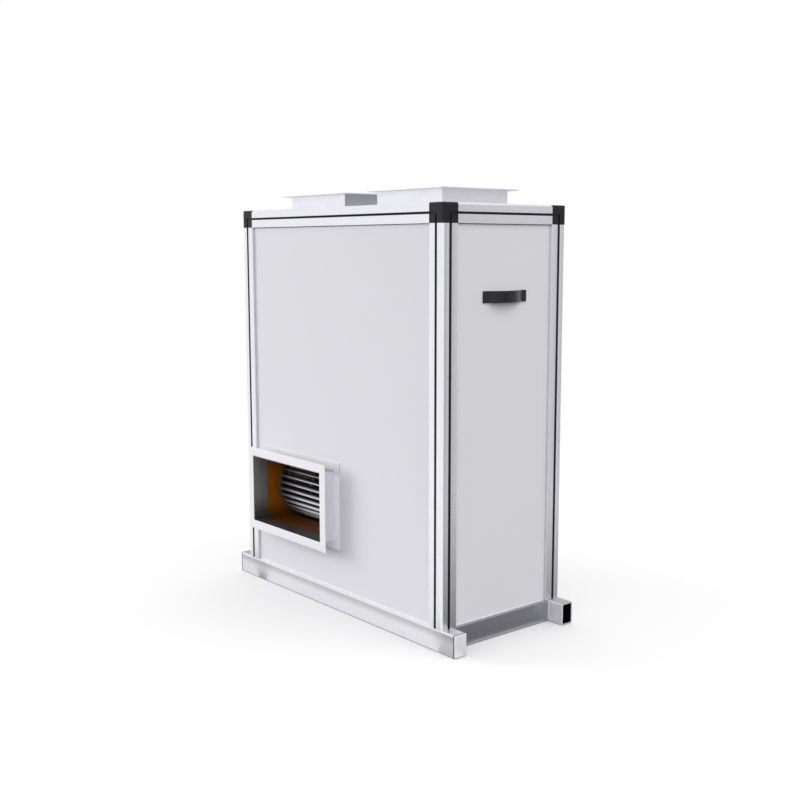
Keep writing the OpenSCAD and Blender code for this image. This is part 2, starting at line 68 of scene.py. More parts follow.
# Base rails
RAIL_EDGE_R = 4 * MM
PLATE_RIM_R = 1.4 * MM
PLUG_L = 18 * MM
PLUG_EDGE_R = 2.5 * MM
PLUG_RIM_R = 0.8 * MM
WELD_R = 2.2 * MM
WELD_RIPPLE = 0.16
WELD_PITCH = 3.2 * MM
WELD_END_SHARE = 0.1
WELD_MARGIN = 4 * MM
SEAM_L = 2.4 * MM
SEAM_PROUD = 0.1 * MM
# Painted shade on the rails: height of the contact shadow at a rail's foot, and the band of shade below
# the panel's foot
CONTACT_SHADE_H = 5 * MM
SHADE_HIGH = 2 * MM
SHADE_MIDDLE = 8 * MM
SHADE_LOW = 30 * MM

# Panel seals
SEAL_GAP = 0.05 * MM
SEAL_W = 1.4 * MM
SEAL_TOP = 0.3 * MM
SEAL_FOOT = 6 * MM
SEAL_CROWN_R = 0.6 * MM
SEAL_FOOT_R = 0.4 * MM
# Height of the painted shade along the seals' upper edges
SEAL_SHADE_H = 3 * MM
SEALANT_R = 2 * MM
SEALANT_PROUD = 0.8 * MM

# Duct sheet
SHEET_T = 2 * MM
SPIGOT_FLANGE_T = 3 * MM
SPIGOT_FLANGE_W = 21 * MM
SPIGOT_REACH = SHEET_T + SPIGOT_FLANGE_W
FOLD_IN_R = 0.6 * MM
FOLD_OUT_R = 1.8 * MM
SHEET_ARRIS_R = 0.4 * MM
# Painted shade on the outlet's wall rim, and the darker top of its collar
RIM_SHADE_HIGH = 25 * MM
RIM_SHADE_LOW = 45 * MM
COLLAR_DARK_LOW = 3 * MM
# Share of the collar's height over which painted shade deepens towards its floor
LINING_SHADE_SHARE = 0.4

# Fan
# Height of the painted shade low in the fan's housing
HOUSING_SHADE_H = 60 * MM
# Shares of the tip radius for the painted shade at the blade roots and painted highlight at the tips, and
# of the wheel's length for the painted shade at its left end
BLADE_ROOT_SHARE = 0.935
BLADE_TIP_SHARE = 0.985
BLADE_SHADE_SHARE = 0.35

# Bow handle
HANDLE_T = 4 * MM
HANDLE_FOOT = 16 * MM
HANDLE_BLEND = 5 * MM
RIB_COUNT = 6
RIB_RISE = 0.8 * MM
RIB_FADE = 2 * MM
RIB_SAMPLES = 8

# Meshes
QUAD = 4
ARC_STEPS = 6
SMOOTH_ANGLE = math.radians(35)


# Surfaces: the points, the corners of all faces in one row, and how many corners each face has

def grid_corners(rows, columns):
    """Corners of the quads of a grid whose rows run round a closed outline: each quad joins two
    neighbours in one row with the same two in the next row."""
    row, column = np.meshgrid(np.arange(rows - 1), np.arange(columns), indexing="ij")
    beside = (column + 1) % columns
    quads = np.stack([row * columns + column, row * columns + beside,
                      (row + 1) * columns + beside, (row + 1) * columns + column], axis=-1)
    return quads.reshape(-1)


def closed_tube(points):
    """A grid of rows round a closed outline, with the first and last rows filled as flat ends."""
    rows, columns = points.shape[:2]
    first_end = np.arange(columns)[::-1]
    last_end = np.arange((rows - 1) * columns, rows * columns)
    corners = np.concatenate([grid_corners(rows, columns), first_end, last_end])
    sizes = np.concatenate([np.full((rows - 1) * columns, QUAD), [columns, columns]])
    return points.reshape(-1, 3), corners, sizes


def ring(points):
    """A grid of rows round a closed outline whose last row meets the first."""
    rows, columns = points.shape[:2]
    corners = grid_corners(rows + 1, columns) % (rows * columns)
    return points.reshape(-1, 3), corners, np.full(rows * columns, QUAD)


def turned_over(surface):
    """The same surface with every face's corners in the opposite order."""
    points, corners, sizes = surface
    return points, corners[::-1], sizes[::-1]


def joined(surfaces):
    """Several surfaces as one, with each one's corners counted on from the points before it."""
    points, corners, sizes = zip(*surfaces)
    before = np.cumsum([0] + [len(each) for each in points[:-1]])
    shifted = [each + count for each, count in zip(corners, before)]
    return np.concatenate(points), np.concatenate(shifted), np.concatenate(sizes)


def filleted(corners, radii):
    """Closed outline whose corners are arcs: each corner gives way to the arc of its radius that touches
    both of its sides, centred on the bisector at the radius over the sine of half the corner's angle."""
    corner = np.array(corners, float)
    radius = np.array(radii, float)[:, None]
    back = np.roll(corner, 1, axis=0) - corner
    ahead = np.roll(corner, -1, axis=0) - corner
    back /= np.linalg.norm(back, axis=1, keepdims=True)
    ahead /= np.linalg.norm(ahead, axis=1, keepdims=True)
    half = np.arccos(np.sum(back * ahead, axis=1, keepdims=True)) / 2
    middle = back + ahead
    middle /= np.linalg.norm(middle, axis=1, keepdims=True)
    centre = corner + middle * radius / np.sin(half)
    start = corner + back * radius / np.tan(half) - centre
    end = corner + ahead * radius / np.tan(half) - centre
    first = np.arctan2(start[:, 1], start[:, 0])
    sweep = (np.arctan2(end[:, 1], end[:, 0]) - first + np.pi) % (2 * np.pi) - np.pi
    angle = first[:, None] + sweep[:, None] * np.linspace(0, 1, ARC_STEPS + 1)
    arc = np.stack([np.cos(angle), np.sin(angle)], axis=-1) * radius[:, :, None]
    return (centre[:, None, :] + arc).reshape(-1, 2)


def prism(outline, origin, side, up, along, start, stop):
    """An outline drawn on two axes and carried straight along the third, from start to stop."""
    side, up, along = (np.array(axis, float) for axis in (side, up, along))
    flat = np.array(origin, float) + outline[:, :1] * side + outline[:, 1:] * up
    bar = closed_tube(np.stack([flat + start * along, flat + stop * along]))
    return turned_over(bar) if np.linalg.det(np.stack([side, up, along])) < 0 else bar


def make_piece(name, surface, material, replaced=()):
    """Puts a surface into a mesh at the origin, smooth but for its sharp edges, riding on the cabinet."""
    points, corners, sizes = surface
    mesh = bpy.data.meshes.new(name)
    mesh.vertices.add(len(points))
    mesh.vertices.foreach_set("co", points.astype(np.float32).ravel())
    mesh.loops.add(len(corners))
    mesh.loops.foreach_set("vertex_index", corners.astype(np.int32))
    mesh.polygons.add(len(sizes))
    mesh.polygons.foreach_set("loop_start", (np.cumsum(sizes) - sizes).astype(np.int32))
    mesh.polygons.foreach_set("use_smooth", np.ones(len(sizes), bool))
    mesh.update(calc_edges=True)
    mesh.set_sharp_from_angle(angle=SMOOTH_ANGLE)
    mesh.materials.append(material)
    piece = bpy.data.objects.new(name, mesh)
    bpy.context.scene.collection.objects.link(piece)
    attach(piece, "cabinet")
    if replaced:
        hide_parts(*replaced)
    return piece


# Finishes

DUCT_ZINC = (0.875, 0.87, 0.93)
COOL_GLOSS = (0.88, 0.87, 1.0, 1)


class Finish:
    """A material on Object coordinates: one Principled shader, with patterns worked out from noise."""

    # The part of a noise's range that holds most of it
    NOISE_SPAN = (0.3, 0.7)

    def __init__(self, name, colour, metallic=0.0, **sockets):
        self.material = bpy.data.materials.new(name)
        self.material.use_nodes = True
        self.tree = self.material.node_tree
        self.shader = self.tree.nodes["Principled BSDF"]
        self.colour = colour
        self.shader.inputs["Base Color"].default_value = (*colour, 1)
        self.shader.inputs["Metallic"].default_value = metallic
        for socket, value in sockets.items():
            self.shader.inputs[socket.replace("_", " ")].default_value = value
        self.place = self.node("ShaderNodeTexCoord").outputs["Object"]

    def node(self, kind, **settings):
        """A new node with its settings."""
        made = self.tree.nodes.new(kind)
        for key, value in settings.items():
            setattr(made, key, value)
        return made

    def link(self, source, target):
        """Joins an output to an input."""
        self.tree.links.new(source, target)

    def stretched(self, stretch):
        """The place, scaled by its own amount along each axis."""
        mapping = self.node("ShaderNodeMapping")
        mapping.inputs["Scale"].default_value = stretch
        self.link(self.place, mapping.inputs["Vector"])
        return mapping.outputs["Vector"]

    def noise(self, scale, stretch=(1, 1, 1), detail=3.0):
        """Cloudy noise between 0 and 1."""
        texture = self.node("ShaderNodeTexNoise")
        texture.inputs["Scale"].default_value = scale
        texture.inputs["Detail"].default_value = detail
        self.link(self.stretched(stretch), texture.inputs["Vector"])
        return texture.outputs["Fac"]

    def spangle(self, scale):
        """One grey for each crystal of a zinc coat."""
        texture = self.node("ShaderNodeTexVoronoi", feature="F1")
        texture.inputs["Scale"].default_value = scale
        self.link(self.place, texture.inputs["Vector"])
        return texture.outputs["Color"]

    def share(self, value, near, far):
        """0 to 1 as a value runs from near to far, easing in and out."""
        share = self.node("ShaderNodeMapRange", interpolation_type="SMOOTHSTEP")
        share.inputs["From Min"].default_value = near
        share.inputs["From Max"].default_value = far
        self.link(value, share.inputs["Value"])
        return share.outputs["Result"]

    def from_axis(self, centre, near, far):
        """0 to 1 from near to far, measured from an axis along X through the centre."""
        offset = self.node("ShaderNodeVectorMath", operation="SUBTRACT")
        offset.inputs[1].default_value = centre
        self.link(self.place, offset.inputs[0])
        across = self.node("ShaderNodeVectorMath", operation="MULTIPLY")
        across.inputs[1].default_value = (0, 1, 1)
        self.link(offset.outputs["Vector"], across.inputs[0])
        length = self.node("ShaderNodeVectorMath", operation="LENGTH")
        self.link(across.outputs["Vector"], length.inputs[0])
        return self.share(length.outputs["Value"], near, far)

    def along(self, axis, near, far):
        """0 to 1 from near to far along one axis."""
        split = self.node("ShaderNodeSeparateXYZ")
        self.link(self.place, split.inputs["Vector"])
        return self.share(split.outputs[axis], near, far)

    def band(self, axis, low, middle, high):
        """0 at the middle of a band along one axis, rising to 1 at both of its edges."""
        edge = self.node("ShaderNodeMath", operation="MAXIMUM")
        self.link(self.along(axis, middle, low), edge.inputs[0])
        self.link(self.along(axis, middle, high), edge.inputs[1])
        return edge.outputs["Value"]

    def tone(self, factor, depth):
        """Colour that runs from a darker to a lighter tone of the finish's own colour."""
        mix = self.node("ShaderNodeMix", data_type="RGBA")
        mix.inputs["A"].default_value = (*[c * (1 - depth) for c in self.colour], 1)
        mix.inputs["B"].default_value = (*[min(1, c * (1 + depth)) for c in self.colour], 1)
        self.link(factor, mix.inputs["Factor"])
        self.link(mix.outputs["Result"], self.shader.inputs["Base Color"])
        return self

    def dulled(self, share, depth):
        """Darkens the toned colour by depth where the share is 0, and leaves it where the share is 1."""
        base = self.shader.inputs["Base Color"]
        scale = self.node("ShaderNodeMapRange")
        scale.inputs["To Min"].default_value = 1 - depth
        self.link(share, scale.inputs["Value"])
        mix = self.node("ShaderNodeMix", data_type="RGBA", blend_type="MULTIPLY")
        mix.inputs["Factor"].default_value = 1
        self.link(base.links[0].from_socket, mix.inputs["A"])
        self.link(scale.outputs["Result"], mix.inputs["B"])
        self.link(mix.outputs["Result"], base)
        return self

    def rough(self, noise, low, high):
        """Roughness from low to high over the span of a noise."""
        spread = self.node("ShaderNodeMapRange")
        spread.inputs["From Min"].default_value, spread.inputs["From Max"].default_value = self.NOISE_SPAN
        spread.inputs["To Min"].default_value = low
        spread.inputs["To Max"].default_value = high
        self.link(noise, spread.inputs["Value"])
        self.link(spread.outputs["Result"], self.shader.inputs["Roughness"])
        return self

    def bump(self, height, distance, strength):
        """Grain that a noise raises by a distance, at a strength."""
        bump = self.node("ShaderNodeBump")
        bump.inputs["Distance"].default_value = distance
        bump.inputs["Strength"].default_value = strength
        self.link(height, bump.inputs["Height"])
        self.link(bump.outputs["Normal"], self.shader.inputs["Normal"])
        return self


def streaked(axis, along=0.02):
    """Scale that draws noise out along one axis, as a die or a roller leaves it."""
    return tuple(along if each == axis else 1.0 for each in "XYZ")


def powder_coat():
    """Pale satin coat: a slow drift of tone, and the fine orange peel of baked powder."""
    coat = Finish("powder_coat", (0.70, 0.698, 0.742), Specular_IOR_Level=0.4)
    coat.tone(coat.noise(3.0), depth=0.02)
    coat.rough(coat.noise(40.0), low=0.38, high=0.48)
    return coat.bump(coat.noise(700.0, detail=2.0), distance=0.05 * MM, strength=0.3).material


def anodised(name, axis):
    """Satin anodised aluminium, with die lines along the extrusion."""
    metal = Finish(name, (0.818, 0.815, 0.868), metallic=1.0)
    lines = metal.noise(900.0, streaked(axis))
    metal.tone(metal.noise(150.0, streaked(axis)), depth=0.012)
    metal.rough(lines, low=0.26, high=0.34)
    return metal.bump(lines, distance=0.02 * MM, strength=0.15).material


def zinc_coat(name, colour, metallic, axis=None):
    """Zinc-coated steel: crystals a few millimetres wide, and slow clouding, drawn out along an axis
    where the steel was rolled."""
    metal = Finish(name, colour, metallic)
    metal.tone(metal.spangle(160.0), depth=0.015)
    stretch = (1, 1, 1) if axis is None else streaked(axis, 0.08)
    metal.rough(metal.noise(60.0, stretch), low=0.3, high=0.42)
    return metal.bump(metal.noise(250.0, stretch), distance=0.03 * MM, strength=0.15)


def galvanised(name, colour, metallic, axis=None):
    """Clean zinc-coated steel."""
    return zinc_coat(name, colour, metallic, axis).material


def floor_rail_zinc(name, colour, metallic, axis, sill_shade=0.0, top_shade=0.0):
    """Zinc-coated steel of a rail, with a painted contact shadow where its lower edges meet the floor. A
    depth of sill shade adds a band of painted shade on its face below the panel above, and a depth of top
    shade a painted darker reflection on its top face."""
    metal = zinc_coat(name, colour, metallic, axis)
    # Painted contact shadow: darker towards the floor along the rail's foot
    metal.dulled(metal.along("Z", 0, CONTACT_SHADE_H), depth=0.75)
    rail_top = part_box("base_front_rail")[1].z
    # Painted shade: a darker band on the rail's face just below the panel's foot
    if sill_shade:
        run = metal.band("Z", rail_top - SHADE_LOW, rail_top - SHADE_MIDDLE, rail_top - SHADE_HIGH)
        metal.dulled(run, sill_shade)
    # Painted darker reflection on the rail's top face
    if top_shade:
        metal.dulled(metal.along("Z", rail_top, rail_top - SHADE_HIGH), top_shade)
    return metal.material


def dark_top_zinc(name, colour, metallic, node, dark_high, dark_low, depth):
    """Zinc-coated sheet of a node, drawn darker along its upper edge, between two distances below its
    top."""
    metal = zinc_coat(name, colour, metallic)
    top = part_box(node)[1].z
    return metal.dulled(metal.along("Z", top - dark_high, top - dark_low), depth).material


def outlet_lining_shaded():
    """Zinc inside the outlet's collar, drawn darker than the collar's outside as painted shade of the
    recess, with more painted shade towards its floor.
    """
    lo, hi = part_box("outlet_collar")
    metal = zinc_coat("outlet_lining_shaded", (0.4, 0.39, 0.395), metallic=0.7)
    # Painted shade deepening towards the collar's floor
    shade_top = lo.z + LINING_SHADE_SHARE * (hi.z - lo.z)
    return metal.dulled(metal.along("Z", lo.z, shade_top), depth=0.7).material


def blade_zinc_lit_and_shaded():
    """Galvanised blades with painted light and shade: bright at their tips, darker towards their roots,
    and darker towards the left end of the wheel."""
    lo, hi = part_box("wheel_end_rings")
    tip_r = (hi.z - lo.z) / 2
    metal = Finish("blade_zinc_lit_and_shaded", (0.4, 0.4, 0.42), metallic=0.7, Roughness=0.36)
    # Painted highlight on the blade tips and painted shade towards their roots
    tips = metal.from_axis((lo + hi) / 2, BLADE_ROOT_SHARE * tip_r, BLADE_TIP_SHARE * tip_r)
    metal.tone(tips, depth=0.93)
    # Painted shade towards the left end of the wheel
    shade_end = lo.x + BLADE_SHADE_SHARE * (hi.x - lo.x)
    metal.dulled(metal.along("X", lo.x, shade_end), depth=0.75)
    grain = metal.noise(300.0, streaked("X", 0.05))
    return metal.bump(grain, distance=0.03 * MM, strength=0.2).material


def moulded_black(name, colour, low, high, specular):
    """Black moulded plastic with a fine spark-eroded grain, its roughness between low and high."""
    plastic = Finish(name, colour, Specular_IOR_Level=specular, Specular_Tint=COOL_GLOSS)
    plastic.tone(plastic.noise(30.0), depth=0.15)
    plastic.rough(plastic.noise(400.0), low, high)
    return plastic.bump(plastic.noise(1400.0, detail=2.0), distance=0.06 * MM, strength=0.3).material


def matt_rubber(name, colour, specular):
    """Matt rubber, dusty in places."""
    rubber = Finish(name, colour, Specular_IOR_Level=specular)
    rubber.tone(rubber.noise(60.0), depth=0.25)
    return rubber.rough(rubber.noise(200.0), low=0.6, high=0.8).material


def seal_rubber():
    """Pale matt rubber of the panel seals, darker along the upper edges of the panels as painted shade.
    """
    rubber = Finish("seal_rubber", (0.78, 0.778, 0.82), Specular_IOR_Level=0.2)
    rubber.tone(rubber.noise(60.0), depth=0.1)
    panel_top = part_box("front_panel")[1].z
    # Painted shade along the seals' upper edges, under the top rails
    rubber.dulled(rubber.along("Z", panel_top, panel_top - SEAL_SHADE_H), depth=0.85)
    return rubber.rough(rubber.noise(200.0), low=0.6, high=0.8).material


def housing_lacquer():
    """Orange-brown lacquer on the fan's housing, clouded, slightly uneven and darker low down as painted
    shade.
    """
    lacquer = Finish("housing_lacquer", (0.33, 0.095, 0.006), Specular_IOR_Level=0.25)
    lacquer.tone(lacquer.noise(14.0), depth=0.12)
    floor_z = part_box("outlet_collar")[0].z
    # Painted shade low down in the housing
    lacquer.dulled(lacquer.along("Z", floor_z, floor_z + HOUSING_SHADE_H), depth=0.68)
    lacquer.rough(lacquer.noise(50.0), low=0.34, high=0.5)
    return lacquer.bump(lacquer.noise(300.0), distance=0.05 * MM, strength=0.3).material


def motor_enamel():
    """Dark satin enamel on the motor and the fan's brackets."""
    enamel = Finish("motor_enamel", (0.03, 0.031, 0.034))
    enamel.tone(enamel.noise(25.0), depth=0.12)
    enamel.rough(enamel.noise(90.0), low=0.34, high=0.48)
    return enamel.bump(enamel.noise(500.0), distance=0.05 * MM, strength=0.35).material


def turned_steel():
    """Bright steel with fine rings left by turning."""
    steel = Finish("turned_steel", (0.6, 0.6, 0.62), metallic=1.0)
    rings = steel.noise(1500.0, stretch=(1.0, 0.01, 0.01))
    steel.tone(rings, depth=0.06)
    return steel.rough(rings, low=0.2, high=0.34).material


POWDER_COAT = powder_coat()
UPRIGHT_METAL = anodised("anodised_upright", "Z")
LONG_METAL = anodised("anodised_long", "X")
SHORT_METAL = anodised("anodised_short", "Y")
# The front rail carries the band of painted shade below the sill
FRONT_RAIL_METAL = floor_rail_zinc("front_rail_zinc", (0.83, 0.827, 0.87), 0.8, "X", sill_shade=0.32)
# Painted light and shade: the rear rail's zinc is a lighter copy of the rail zinc, with a painted darker
# reflection on its top
REAR_RAIL_METAL = floor_rail_zinc("rear_rail_zinc", (0.95, 0.946, 0.985), 0.4, "X", top_shade=0.5)
# Painted shade: the cross rails' zinc is a darker copy of the rail zinc
CROSS_SHADED_METAL = floor_rail_zinc("cross_rail_zinc_shaded", (0.435, 0.432, 0.49), 0.95, "Y")
PLATE_METAL = floor_rail_zinc("end_plate_zinc", (0.84, 0.837, 0.88), 0.2, "X")
WELD_METAL = galvanised("weld_zinc", (0.7, 0.7, 0.72), metallic=0.8)
DUCT_METAL = galvanised("duct_zinc", DUCT_ZINC, metallic=0.9)
FLANGE_METAL = galvanised("flange_zinc", (0.80, 0.797, 0.825), metallic=0.12)
# Painted shade along the wall rim's top band
WALL_RIM_METAL = dark_top_zinc("wall_rim_zinc", (0.96, 0.957, 0.98), 0.0, "outlet_wall_flange",
                            RIM_SHADE_HIGH, RIM_SHADE_LOW, depth=0.3)
# The collar's top drawn darker, so that it throws less light up onto the panel above
COLLAR_METAL = dark_top_zinc("collar_zinc", DUCT_ZINC, 0.9, "outlet_collar", 0, COLLAR_DARK_LOW, depth=0.45)
GAP_SHADE_METAL = galvanised("gap_zinc_shaded", (0.58, 0.577, 0.62), metallic=0.9)
OUTLET_LINING_SHADED = outlet_lining_shaded()
BLADE_LIT_AND_SHADED = blade_zinc_lit_and_shaded()
# Painted shade: the end rings and middle disc are zinc drawn dark, as the wheel's inside lies in shade
WHEEL_METAL = galvanised("wheel_zinc", (0.16, 0.16, 0.165), 0.8, "X")
BLACK_PLASTIC = moulded_black("moulded_black", (0.005, 0.005, 0.008), 0.42, 0.56, specular=0.36)
HANDLE_PLASTIC = moulded_black("handle_black", (0.006, 0.006, 0.009), 0.2, 0.3, specular=0.42)
STRIP_RUBBER = matt_rubber("strip_rubber", (0.006, 0.006, 0.008), specular=0.2)
PLUG_RUBBER = matt_rubber("plug_rubber", (0.001, 0.001, 0.0012), specular=0.02)
SEAL_RUBBER = seal_rubber()
SEALANT = matt_rubber("pale_sealant", (0.78, 0.78, 0.81), specular=0.3)
LACQUER = housing_lacquer()
ENAMEL = motor_enamel()
SHAFT_STEEL = turned_steel()

NODE_FINISHES = {
    "base_front_rail": FRONT_RAIL_METAL, "base_rear_rail": REAR_RAIL_METAL,
    "base_left_cross_rail": CROSS_SHADED_METAL, "base_right_cross_rail": CROSS_SHADED_METAL,
    "front_panel": POWDER_COAT, "rear_panel": POWDER_COAT, "left_panel": POWDER_COAT,
    "access_panel": POWDER_COAT, "top_panel": POWDER_COAT, "floor_panel": POWDER_COAT,
    "front_left_corner": BLACK_PLASTIC, "front_right_corner": BLACK_PLASTIC,
    "rear_left_corner": BLACK_PLASTIC, "rear_right_corner": BLACK_PLASTIC,
    "fan_left_side_plate": LACQUER, "fan_right_side_plate": LACQUER,
    "fan_scroll_wrap": LACQUER, "fan_inlet_bells": LACQUER,
    "fan_feet": ENAMEL, "fan_motor": ENAMEL, "motor_bracket": ENAMEL,
    "wheel_left_blades": BLADE_LIT_AND_SHADED, "wheel_right_blades": BLADE_LIT_AND_SHADED,
    "wheel_end_rings": WHEEL_METAL, "wheel_middle_disc": WHEEL_METAL,
    "fan_shaft": SHAFT_STEEL,
}
for node, material in NODE_FINISHES.items():
    nodes[node].data.materials.clear()
    nodes[node].data.materials.append(material)


# Frame of slotted profiles

frame_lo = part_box("front_left_post")[0]
frame_hi = Vector((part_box("front_right_post")[1].x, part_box("rear_left_post")[1].y,
                   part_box("front_left_corner")[1].z))
frame_mid = (frame_lo + frame_hi) / 2


def profile_outline():
    """Square section with its outer edge at the origin, and a slot with round lips in each outer face."""
    near, far = (PROFILE - SLOT_W) / 2, (PROFILE + SLOT_W) / 2
    corners = [(0, 0), (near, 0), (near, SLOT_D), (far, SLOT_D), (far, 0), (PROFILE, 0),
               (PROFILE, PROFILE), (0, PROFILE), (0, far), (SLOT_D, far), (SLOT_D, near), (0, near)]
    slot = [SLOT_LIP_R, SLOT_ROOT_R, SLOT_ROOT_R, SLOT_LIP_R]
    return filleted(corners, [PROFILE_EDGE_R, *slot, ARRIS_R, ARRIS_R, ARRIS_R, *slot])


def fin_outline():
    """Fin that a panel seats against, standing out of the section's inner side."""
    near, far = PROFILE - PROFILE_WALL, PROFILE + FIN_L
    low, high = PANEL_SEAT, PANEL_SEAT + FIN_T
    return filleted([(near, low), (far, low), (far, high), (near, high)], [ARRIS_R] * 4)


def strip_outline():
    """Cover strip in the first slot, with its face crowned between two round shoulders."""
    near, far = (PROFILE - SLOT_W) / 2 + STRIP_GAP, (PROFILE + SLOT_W) / 2 - STRIP_GAP
    corners = [(near, STRIP_INSET), (far, STRIP_INSET), (far, SLOT_D), (near, SLOT_D)]
    return filleted(corners, [STRIP_CROWN_R, STRIP_CROWN_R, SLOT_ROOT_R, SLOT_ROOT_R])


def lipped_strip_outline():
    """Cover strip whose face reaches over the slot's lips on both sides and stands a little proud."""
    near, far = (PROFILE - SLOT_W) / 2, (PROFILE + SLOT_W) / 2
    corners = [(near - STRIP_LIP, -STRIP_LIP_T), (far + STRIP_LIP, -STRIP_LIP_T),
               (far + STRIP_LIP, 0), (far - STRIP_GAP, 0), (far - STRIP_GAP, SLOT_D),
               (near + STRIP_GAP, SLOT_D), (near + STRIP_GAP, 0), (near - STRIP_LIP, 0)]
    shoulder, foot = STRIP_LIP_T / 2, STRIP_LIP_T / 10
    return filleted(corners, [shoulder, shoulder, foot, foot, SLOT_ROOT_R, SLOT_ROOT_R, foot, foot])


def swapped(outline):
    """The same outline on the other outer face, kept anticlockwise."""
    return outline[::-1, ::-1]


def post_axes(side_x, side_y):
    """Origin and axes of a post's section: the outer edge, and inward along X and Y."""
    origin = (frame_mid.x + side_x * (frame_hi.x - frame_mid.x),
              frame_mid.y + side_y * (frame_hi.y - frame_mid.y), 0)
    return origin, (-side_x, 0, 0), (0, -side_y, 0), (0, 0, 1)


def long_rail_axes(side_y):
    """Origin and axes of a front or rear top rail's section: the outer top edge, inward along Y, down."""
    origin = (0, frame_mid.y + side_y * (frame_hi.y - frame_mid.y), frame_hi.z)
    return origin, (0, -side_y, 0), (0, 0, -1), (1, 0, 0)


def short_rail_axes(side_x):
    """Origin and axes of a left or right top rail's section: the outer top edge, inward along X, down."""
    origin = (frame_mid.x + side_x * (frame_hi.x - frame_mid.x), 0, frame_hi.z)
    return origin, (-side_x, 0, 0), (0, 0, -1), (0, 1, 0)


def profile_bar(axes, start, stop, fin_trim, other_fin_trim):
    """Slotted profile with its two fins, each cut short at both ends by its own trim."""
    return joined([
        prism(profile_outline(), *axes, start, stop),
        prism(fin_outline(), *axes, start + fin_trim, stop - fin_trim),
        prism(swapped(fin_outline()), *axes, start + other_fin_trim, stop - other_fin_trim)])


def strip_pair(outline, axes, start, stop):
    """The same strip in both slots of a profile."""
    return [prism(each, *axes, start, stop) for each in (outline, swapped(outline))]


ENDS = ((-1, "left"), (1, "right"))
FACES = ((-1, "front"), (1, "rear"))
post_z = (frame_lo.z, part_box("front_left_post")[1].z)
rail_x = (frame_lo.x + PROFILE, frame_hi.x - PROFILE)
rail_y = (frame_lo.y + PROFILE, frame_hi.y - PROFILE)
post_strips, rail_strips = [], []
for side_y, face in FACES:
    name = f"{face}_top_rail"
    axes = long_rail_axes(side_y)
    bar = profile_bar(axes, *rail_x, 0, FIN_L)
    make_piece(name + "_extrusion", bar, LONG_METAL, [name])
    rail_strips += strip_pair(strip_outline(), axes, *rail_x)
    for side_x, end in ENDS:
        name = f"{face}_{end}_post"
        axes = post_axes(side_x, side_y)
        bar = profile_bar(axes, *post_z, 0, 0)
        make_piece(name + "_extrusion", bar, UPRIGHT_METAL, [name])
        post_strips += strip_pair(lipped_strip_outline(), axes, *post_z)
for side_x, end in ENDS:
    name = f"{end}_top_rail"
    axes = short_rail_axes(side_x)
    bar = profile_bar(axes, *rail_y, FIN_L, FIN_L)
    make_piece(name + "_extrusion", bar, SHORT_METAL, [name])
    rail_strips += strip_pair(strip_outline(), axes, *rail_y)
make_piece("post_cover_strips", joined(post_strips), STRIP_RUBBER, ["post_slot_strips"])
make_piece("rail_cover_strips", joined(rail_strips), STRIP_RUBBER, ["top_rail_slot_strips"])


# Rail ends

def rimmed_block(lo, hi, edge_r, rim_r):
    """Block with round long edges, lying along X: a round-cornered outline whose corner radius shrinks
    along a quarter circle at each end, so that both end faces have a round rim."""
    mid = (lo + hi) / 2
    half_y, half_z = (hi.y - lo.y) / 2 - edge_r, (hi.z - lo.z) / 2 - edge_r
    turn = np.linspace(0, np.pi / 2, ARC_STEPS + 1)
    angle = np.concatenate([turn + quarter * np.pi / 2 for quarter in range(4)])
    corner_y = np.repeat([half_y, -half_y, -half_y, half_y], ARC_STEPS + 1)
    corner_z = np.repeat([half_z, half_z, -half_z, -half_z], ARC_STEPS + 1)
    x = np.concatenate([lo.x + rim_r * (1 - np.cos(turn)), hi.x - rim_r * (1 - np.cos(turn[::-1]))])
    inset = rim_r * (1 - np.sin(np.concatenate([turn, turn[::-1]])))
    radius = (edge_r - inset)[:, None]
    y = mid.y + corner_y + radius * np.cos(angle)
    z = mid.z + corner_z + radius * np.sin(angle)
    return closed_tube(np.stack([np.broadcast_to(x[:, None], y.shape), y, z], axis=-1))


def end_pair(node, edge_r, rim_r, length):
    """The two blocks of a node that lie at the low and the high end of its box."""
    lo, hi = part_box(node)
    left = rimmed_block(lo, Vector((lo.x + length, hi.y, hi.z)), edge_r, rim_r)
    right = rimmed_block(Vector((hi.x - length, lo.y, lo.z)), hi, edge_r, rim_r)
    return joined([left, right])


plate_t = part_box("front_rail_end_plates")[1].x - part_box("base_front_rail")[1].x
make_piece("front_rail_end_covers", end_pair("front_rail_end_plates", RAIL_EDGE_R, PLATE_RIM_R, plate_t),
           PLATE_METAL, ["front_rail_end_plates"])
make_piece("rear_rail_end_plugs", end_pair("rear_rail_plugs", PLUG_EDGE_R, PLUG_RIM_R, PLUG_L),
           PLUG_RUBBER, ["rear_rail_plugs"])


def end_seams(node):
    """Thin bands round the rail where its end plates meet it, a little proud of its sides and top."""
    lo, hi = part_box(node)
    proud = Vector((0, SEAM_PROUD, 0))
    top = Vector((0, SEAM_PROUD, SEAM_PROUD))
    left, right = lo.x + plate_t, hi.x - plate_t
    return joined([
        rimmed_block(Vector((left, lo.y, lo.z)) - proud, Vector((left + SEAM_L, hi.y, hi.z)) + top,
                     RAIL_EDGE_R, SEAM_PROUD),
        rimmed_block(Vector((right - SEAM_L, lo.y, lo.z)) - proud, Vector((right, hi.y, hi.z)) + top,
                     RAIL_EDGE_R, SEAM_PROUD)])


make_piece("rail_end_seams", end_seams("front_rail_end_plates"), STRIP_RUBBER)


